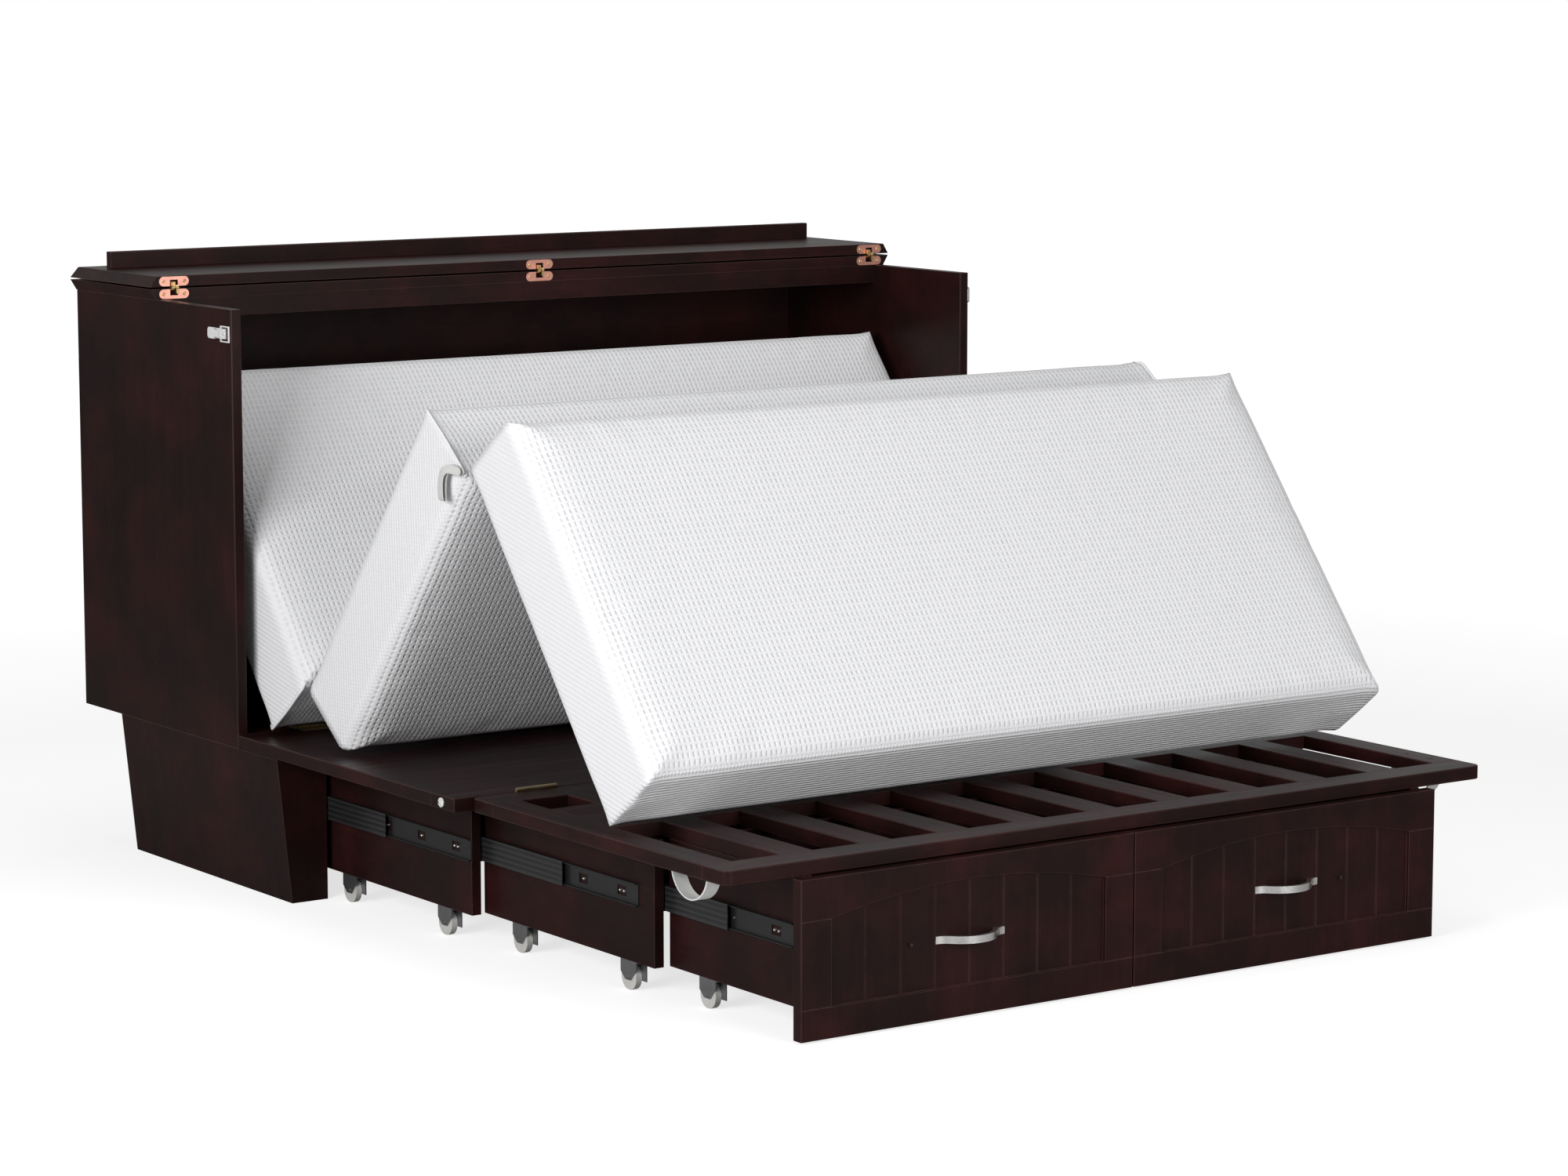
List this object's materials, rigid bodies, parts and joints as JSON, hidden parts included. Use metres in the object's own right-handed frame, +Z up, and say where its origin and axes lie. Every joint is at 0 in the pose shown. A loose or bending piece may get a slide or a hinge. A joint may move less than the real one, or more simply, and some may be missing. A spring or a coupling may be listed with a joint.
{
  "type": "cabinet bed",
  "caption": "Low cabinet whose front panel and slatted panel fold down over box sections that slide out on casters, with a three-part folding mattress and a folding lid.",
  "frame": {"origin": "on the floor, in the middle of the opened-out bed's outline seen from above", "axes": "+X to the right seen from the bed's foot, +Y from the foot to the cabinet's back, +Z up"},
  "size_m": [1.662, 2.1509, 1.12],
  "materials": {
    "dark_wood": "satin espresso stain",
    "light_wood": "satin espresso stain",
    "slat_wood": "satin stain",
    "copper": "copper plated",
    "brass": "antique brass",
    "slide_steel": "dark zinc",
    "bracket_steel": "grey",
    "wheel_plastic": "off-white nylon",
    "latch_white": "white enamel",
    "strap_web": "white webbing",
    "satin_nickel": "satin nickel",
    "mattress_cover": "white knit"
  },
  "bodies": {
    "cabinet": {"side_panel_left": "dark_wood", "side_panel_right": "dark_wood", "plinth_left": "dark_wood", "plinth_right": "dark_wood", "plinth_rear": "dark_wood", "deck": "dark_wood", "back_panel": "dark_wood", "top_rail": "dark_wood", "top_fixed": "dark_wood", "lid_hinge_lower": "copper", "front_hinge_fixed": "brass", "slide1_outer": "slide_steel", "latch_bases": "latch_white"},
    "lid": {"lid_panel": "dark_wood", "lid_cleat": "light_wood", "lid_hinge_upper": "copper"},
    "front_panel": {"front_panel": "dark_wood", "front_panel_rail": "dark_wood", "front_panel_hinges": "brass", "latch_keepers": "latch_white"},
    "slat_panel": {"slat_rear_rail": "slat_wood", "slat_front_rail": "slat_wood", "slat_cross_rail": "slat_wood", "slat_side_rails": "slat_wood", "slats": "slat_wood", "slat_hinge_far": "brass", "pull_straps": "strap_web"},
    "section_1": {"s1_sides": "dark_wood", "s1_rear": "dark_wood", "s1_slide_inner": "slide_steel", "s2_slide_outer": "slide_steel", "s1_caster_brackets": "bracket_steel"},
    "section_2": {"s2_sides": "dark_wood", "s2_rear": "dark_wood", "s2_slide_inner": "slide_steel", "s3_slide_outer": "slide_steel", "s2_caster_brackets": "bracket_steel"},
    "section_3": {"s3_sides": "dark_wood", "s3_rear": "dark_wood", "s3_bottom": "dark_wood", "drawer_front_left": "dark_wood", "drawer_front_right": "dark_wood", "handles": "satin_nickel", "s3_slide_inner": "slide_steel", "s3_caster_brackets": "bracket_steel"},
    "slide_mid_1": {"slide_mid_1": "slide_steel"},
    "slide_mid_2": {"slide_mid_2": "slide_steel"},
    "slide_mid_3": {"slide_mid_3": "slide_steel"},
    "latch_lever_left": {"latch_lever_left": "latch_white"},
    "latch_lever_right": {"latch_lever_right": "latch_white"},
    "latch_loop_left": {"latch_loop_left": "latch_white"},
    "latch_loop_right": {"latch_loop_right": "latch_white"},
    "mattress_middle": {"mattress_middle": "mattress_cover"},
    "mattress_front": {"mattress_front": "mattress_cover"},
    "mattress_rear": {"mattress_rear": "mattress_cover"},
    "s1_rear_wheels": {"s1_rear_wheels": "wheel_plastic"},
    "s1_front_wheels": {"s1_front_wheels": "wheel_plastic"},
    "s2_rear_wheels": {"s2_rear_wheels": "wheel_plastic"},
    "s2_front_wheels": {"s2_front_wheels": "wheel_plastic"},
    "s3_rear_wheels": {"s3_rear_wheels": "wheel_plastic"}
  },
  "joints": [
    {"name": "lid_fold", "type": "hinge", "parent": "cabinet", "child": "lid", "pos_m": [0, 0.7497, 1.0674], "axis": [1, 0, 0], "range_deg": [0, 180]},
    {"name": "front_panel_fold", "type": "hinge", "parent": "cabinet", "child": "front_panel", "pos_m": [0, 0.471, 0.288], "axis": [-1, 0, 0], "range_deg": [0, 90]},
    {"name": "slat_panel_fold", "type": "hinge", "parent": "front_panel", "child": "slat_panel", "pos_m": [0, -0.2813, 0.288], "axis": [-1, 0, 0], "range_deg": [0, 180]},
    {"name": "section_1_slide", "type": "slide", "parent": "cabinet", "child": "section_1", "axis": [0, 1, 0], "range_m": [0, 0.496]},
    {"name": "section_2_slide", "type": "slide", "parent": "section_1", "child": "section_2", "axis": [0, 1, 0], "range_m": [0, 0.513]},
    {"name": "section_3_slide", "type": "slide", "parent": "section_2", "child": "section_3", "axis": [0, 1, 0], "range_m": [0, 0.365]},
    {"name": "slide_mid_1_travel", "type": "slide", "parent": "cabinet", "child": "slide_mid_1", "axis": [0, 1, 0], "range_m": [0, 0.248]},
    {"name": "slide_mid_2_travel", "type": "slide", "parent": "section_1", "child": "slide_mid_2", "axis": [0, 1, 0], "range_m": [0, 0.2565]},
    {"name": "slide_mid_3_travel", "type": "slide", "parent": "section_2", "child": "slide_mid_3", "axis": [0, 1, 0], "range_m": [0, 0.1825]},
    {"name": "latch_lever_right_turn", "type": "hinge", "parent": "cabinet", "child": "latch_lever_right", "pos_m": [0.8246, 0.5065, 1.002], "axis": [0, 0, -1], "range_deg": [0, 80]},
    {"name": "latch_lever_left_turn", "type": "hinge", "parent": "cabinet", "child": "latch_lever_left", "pos_m": [-0.8246, 0.5065, 1.002], "axis": [0, 0, 1], "range_deg": [0, 80]},
    {"name": "latch_loop_right_turn", "type": "hinge", "parent": "cabinet", "child": "latch_loop_right", "pos_m": [0.8228, 0.4995, 1.002], "axis": [0, 0, 1], "range_deg": [0, 80]},
    {"name": "latch_loop_left_turn", "type": "hinge", "parent": "cabinet", "child": "latch_loop_left", "pos_m": [-0.8228, 0.4995, 1.002], "axis": [0, 0, -1], "range_deg": [0, 80]},
    {"name": "mattress_middle_turn", "type": "hinge", "parent": "cabinet", "child": "mattress_middle", "pos_m": [0, 0.43752, -0.48687], "axis": [-1, 0, 0], "range_deg": [0, 38], "deforming": ["mattress_middle"]},
    {"name": "mattress_front_fold", "type": "hinge", "parent": "mattress_middle", "child": "mattress_front", "pos_m": [0, -0.24815, 0.82034], "axis": [1, 0, 0], "range_deg": [0, 76], "deforming": ["mattress_front"]},
    {"name": "mattress_rear_fold", "type": "hinge", "parent": "mattress_middle", "child": "mattress_rear", "pos_m": [0, 0.30446, 0.39077], "axis": [1, 0, 0], "range_deg": [0, 76], "deforming": ["mattress_rear"]},
    {"name": "s1_rear_roll", "type": "hinge", "parent": "section_1", "child": "s1_rear_wheels", "pos_m": [0, 0.2785, 0.022], "axis": [1, 0, 0], "continuous": true},
    {"name": "s1_front_roll", "type": "hinge", "parent": "section_1", "child": "s1_front_wheels", "pos_m": [0, -0.0495, 0.022], "axis": [1, 0, 0], "continuous": true},
    {"name": "s2_rear_roll", "type": "hinge", "parent": "section_2", "child": "s2_rear_wheels", "pos_m": [0, -0.2435, 0.022], "axis": [1, 0, 0], "continuous": true},
    {"name": "s2_front_roll", "type": "hinge", "parent": "section_2", "child": "s2_front_wheels", "pos_m": [0, -0.5765, 0.022], "axis": [1, 0, 0], "continuous": true},
    {"name": "s3_rear_roll", "type": "hinge", "parent": "section_3", "child": "s3_rear_wheels", "pos_m": [0, -0.7595, 0.022], "axis": [1, 0, 0], "continuous": true}
  ],
  "couplings": [
    {"joint": "slide_mid_1_travel", "follows": "section_1_slide", "ratio": 0.5},
    {"joint": "slide_mid_2_travel", "follows": "section_2_slide", "ratio": 0.5},
    {"joint": "slide_mid_3_travel", "follows": "section_3_slide", "ratio": 0.5},
    {"joint": "mattress_middle_turn", "follows": "front_panel_fold", "ratio": 0.42222},
    {"joint": "mattress_front_fold", "follows": "front_panel_fold", "ratio": 0.84444},
    {"joint": "mattress_rear_fold", "follows": "front_panel_fold", "ratio": 0.84444}
  ]
}
